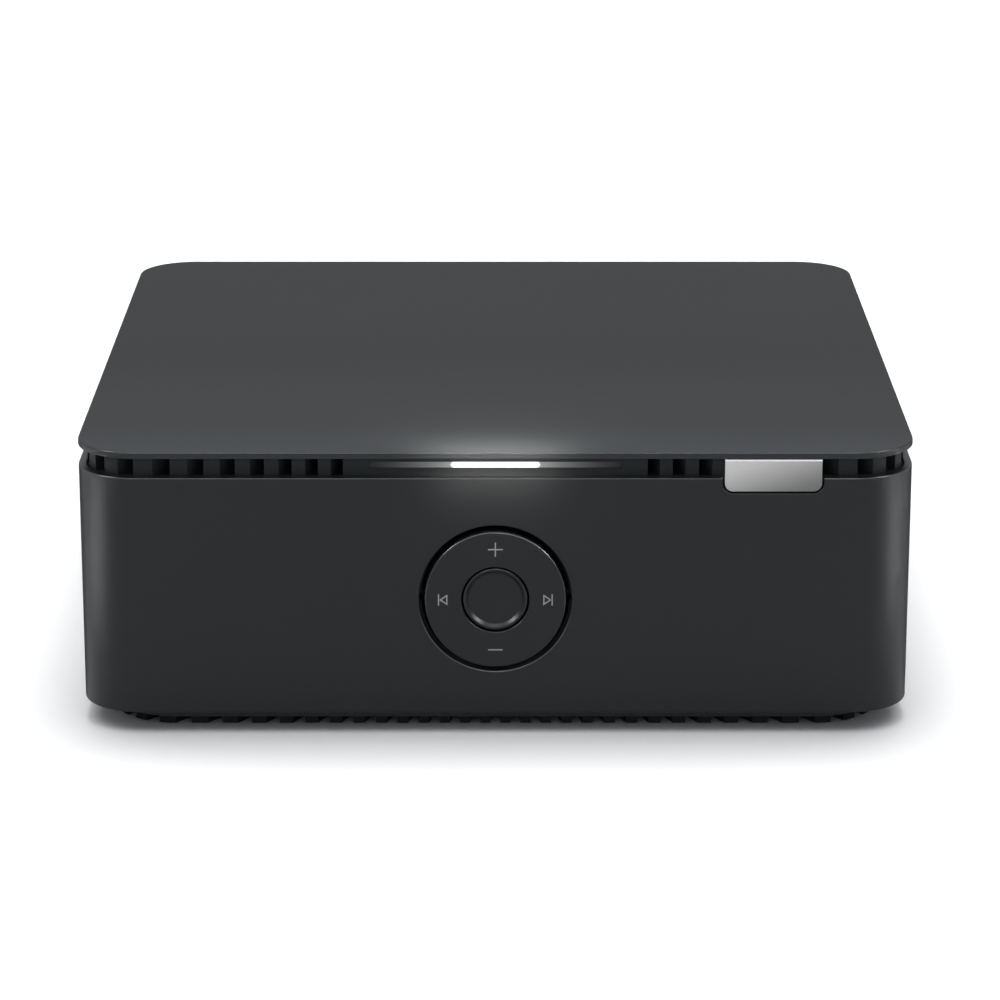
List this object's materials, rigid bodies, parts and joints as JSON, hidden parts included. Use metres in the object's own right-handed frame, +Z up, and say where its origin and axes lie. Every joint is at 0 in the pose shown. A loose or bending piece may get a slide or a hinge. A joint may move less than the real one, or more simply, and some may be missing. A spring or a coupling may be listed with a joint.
{
  "type": "network music streamer",
  "caption": "Low square network music streamer with a four-way dial, a light bar, toothed air vents and a recessed connector bay at the back.",
  "frame": {"origin": "on the floor, under the middle of the case", "axes": "+Z up, +X to the right, the front faces -Y"},
  "size_m": [0.2, 0.2009, 0.0703],
  "materials": {
    "case_grey": "fine satin paint",
    "body_grey": "fine satin texture",
    "frame_black": "matt",
    "base_metal": "black painted casting",
    "rubber": "matt",
    "badge_metal": "satin brushed",
    "screw_steel": "plated",
    "light_plastic": "frosted, lit from behind",
    "dial_grey": "satin",
    "mat_rubber": "silicone",
    "board_green": "solder mask",
    "board_brown": "solder mask",
    "chip_black": "moulded",
    "sink_metal": "extruded",
    "shield_metal": "tinned",
    "can_sleeve": "shrunk sleeve",
    "ferrite": "pressed",
    "winding_tape": "taped",
    "wire_red": "wire insulation",
    "lead_black": "cable jacket",
    "ribbon_white": "flat cable",
    "bay_black": "fine grain",
    "plated_shell": "nickel plate",
    "brass_post": "gold plate",
    "cap_red": "moulded",
    "cap_black": "moulded"
  },
  "bodies": {
    "case": {"top_cover": "case_grey", "vent_frame": "frame_black", "body_shell": "body_grey", "shell_posts": "frame_black", "base_plate": "base_metal", "foot_ring": "frame_black", "rubber_feet": "rubber", "badge_plate": "badge_metal", "case_screws": "screw_steel", "cover_screws": "screw_steel", "chassis_screws": "screw_steel", "light_guide": "light_plastic", "led_board": "board_green", "led_lamps": "light_plastic", "ribbon_cables": "ribbon_white", "control_frame": "frame_black", "keypad_mat": "mat_rubber", "control_board": "board_green", "control_screws": "screw_steel", "main_board": "board_green", "amp_chips": "chip_black", "amp_heatsink": "sink_metal", "processor_shield": "shield_metal", "network_module": "shield_metal", "filter_coils": "ferrite", "filter_capacitors": "can_sleeve", "power_board": "board_brown", "transformer_core": "ferrite", "transformer_coil": "winding_tape", "mains_capacitor": "can_sleeve", "power_harness": "wire_red", "aerials": "board_green", "aerial_leads": "lead_black", "connector_bay": "bay_black", "mains_inlet": "bay_black", "mains_pins": "plated_shell", "lan_socket": "plated_shell", "hdmi_socket": "plated_shell", "usb_socket": "plated_shell", "optical_socket": "chip_black", "line_jack_block": "chip_black", "line_jack_sleeves": "plated_shell", "terminal_bushes": "cap_black", "terminal_posts": "brass_post", "terminal_nuts": "plated_shell", "speaker_leads": "wire_red"},
    "gimbal": {"gimbal_ring": "chip_black"},
    "dial_pad": {"control_ring": "dial_grey"},
    "play_key": {"play_button": "dial_grey", "button_clip": "screw_steel"},
    "setup_key": {"setup_button": "dial_grey"},
    "shutter": {"optical_shutter": "chip_black"},
    "washer_1": {"terminal_washer_1": "brass_post"},
    "cap_1": {"terminal_cap_1": "cap_red"},
    "washer_2": {"terminal_washer_2": "brass_post"},
    "cap_2": {"terminal_cap_2": "cap_black"},
    "washer_3": {"terminal_washer_3": "brass_post"},
    "cap_3": {"terminal_cap_3": "cap_red"},
    "washer_4": {"terminal_washer_4": "brass_post"},
    "cap_4": {"terminal_cap_4": "cap_black"}
  },
  "joints": [
    {"name": "volume_tilt", "type": "hinge", "parent": "case", "child": "gimbal", "pos_m": [0, -0.0938, 0.03405], "axis": [1, 0, 0], "range_deg": [-2, 2], "stiffness_Nm_per_rad": 0.7, "deforming": ["keypad_mat"]},
    {"name": "track_tilt", "type": "hinge", "parent": "gimbal", "child": "dial_pad", "pos_m": [0, -0.0938, 0.03405], "axis": [0, 0, 1], "range_deg": [-2, 2], "stiffness_Nm_per_rad": 0.7, "deforming": ["keypad_mat"]},
    {"name": "play_press", "type": "slide", "parent": "case", "child": "play_key", "axis": [0, 1, 0], "range_m": [0, 0.0008], "stiffness_N_per_m": 1500, "deforming": ["keypad_mat"]},
    {"name": "setup_press", "type": "slide", "parent": "case", "child": "setup_key", "axis": [0, -1, 0], "range_m": [0, 0.0006], "stiffness_N_per_m": 1500},
    {"name": "shutter_swing", "type": "hinge", "parent": "case", "child": "shutter", "pos_m": [0.00625, 0.0806, 0.0245], "axis": [-1, 0, 0], "range_deg": [0, 80], "stiffness_Nm_per_rad": 0.0004},
    {"name": "washer_1_lift", "type": "slide", "parent": "case", "child": "washer_1", "axis": [0, 1, 0], "range_m": [0, 0.0032]},
    {"name": "cap_1_turn", "type": "hinge", "parent": "washer_1", "child": "cap_1", "pos_m": [-0.05633, 0.08365, 0.0445], "axis": [0, 1, 0], "range_deg": [0, 1440]},
    {"name": "washer_2_lift", "type": "slide", "parent": "case", "child": "washer_2", "axis": [0, 1, 0], "range_m": [0, 0.0032]},
    {"name": "cap_2_turn", "type": "hinge", "parent": "washer_2", "child": "cap_2", "pos_m": [-0.03728, 0.08365, 0.0445], "axis": [0, 1, 0], "range_deg": [0, 1440]},
    {"name": "washer_3_lift", "type": "slide", "parent": "case", "child": "washer_3", "axis": [0, 1, 0], "range_m": [0, 0.0032]},
    {"name": "cap_3_turn", "type": "hinge", "parent": "washer_3", "child": "cap_3", "pos_m": [-0.01823, 0.08365, 0.0445], "axis": [0, 1, 0], "range_deg": [0, 1440]},
    {"name": "washer_4_lift", "type": "slide", "parent": "case", "child": "washer_4", "axis": [0, 1, 0], "range_m": [0, 0.0032]},
    {"name": "cap_4_turn", "type": "hinge", "parent": "washer_4", "child": "cap_4", "pos_m": [0.00082, 0.08365, 0.0445], "axis": [0, 1, 0], "range_deg": [0, 1440]}
  ],
  "couplings": [
    {"joint": "cap_1_turn", "follows": "washer_1_lift", "rad_per_m": 7854},
    {"joint": "cap_2_turn", "follows": "washer_2_lift", "rad_per_m": 7854},
    {"joint": "cap_3_turn", "follows": "washer_3_lift", "rad_per_m": 7854},
    {"joint": "cap_4_turn", "follows": "washer_4_lift", "rad_per_m": 7854}
  ]
}
